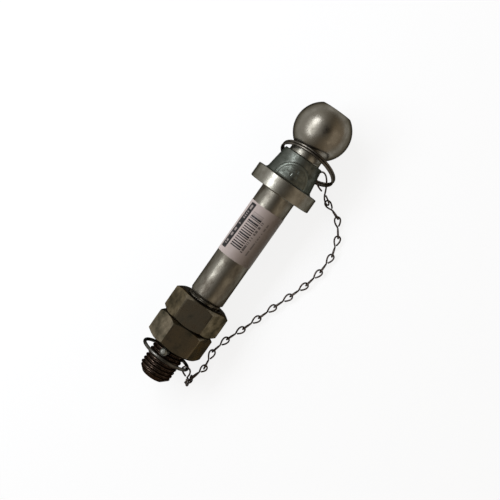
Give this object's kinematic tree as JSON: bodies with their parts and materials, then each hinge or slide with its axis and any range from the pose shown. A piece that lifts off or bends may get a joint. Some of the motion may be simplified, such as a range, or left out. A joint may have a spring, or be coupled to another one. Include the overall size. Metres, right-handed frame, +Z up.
{
  "type": "threaded tow ball",
  "caption": "Threaded tow ball: a ball, cone, flange and plain shank in one forging, with lock nuts, a linch pin and its chain.",
  "frame": {"origin": "centre of the flange's seat, on the pin's axis, where the shank leaves the flange", "axes": "+X along the axis towards the ball, sloping up by 1.6 degrees as the part lies; +Z up; the chain lies on the -Y side"},
  "size_m": [0.2768, 0.1019, 0.0583],
  "materials": {
    "forged_steel": "worn satin, machined and oiled",
    "nut_steel": "dull zinc",
    "pin_steel": "zinc plated",
    "ring_wire": "plated spring wire",
    "chain_wire": "dull bent wire",
    "label_paper": "printed paper"
  },
  "bodies": {
    "pin": {"ball_pin": "forged_steel", "label": "label_paper", "neck_ring": "ring_wire", "linch_pin": "pin_steel", "chain_hook": "chain_wire", "chain_link_01": "chain_wire", "chain_link_02": "chain_wire", "chain_link_03": "chain_wire", "chain_link_04": "chain_wire", "chain_link_05": "chain_wire", "chain_link_06": "chain_wire", "chain_link_07": "chain_wire", "chain_link_08": "chain_wire", "chain_link_09": "chain_wire", "chain_link_10": "chain_wire", "chain_link_11": "chain_wire", "chain_link_12": "chain_wire", "chain_link_13": "chain_wire", "chain_link_14": "chain_wire", "chain_link_15": "chain_wire"},
    "upper_nut_body": {"upper_nut": "nut_steel"},
    "lower_nut_body": {"lower_nut": "nut_steel"},
    "linch_ring_body": {"linch_ring": "ring_wire"}
  },
  "joints": [
    {"name": "upper_nut_turn", "type": "hinge", "parent": "pin", "child": "upper_nut_body", "pos_m": [0, 0, 0], "axis": [0.9996, 0, 0.0276], "continuous": true},
    {"name": "lower_nut_turn", "type": "hinge", "parent": "pin", "child": "lower_nut_body", "pos_m": [0, 0, 0], "axis": [0.9996, 0, 0.0276], "continuous": true},
    {"name": "linch_ring_swing", "type": "hinge", "parent": "pin", "child": "linch_ring_body", "pos_m": [-0.16858, -0.00318, -0.02472], "axis": [-0.0043, -0.9877, 0.1564], "range_deg": [0, 170], "deforming": ["chain_link_11", "chain_link_12", "chain_link_13", "chain_link_14", "chain_link_15"]}
  ]
}
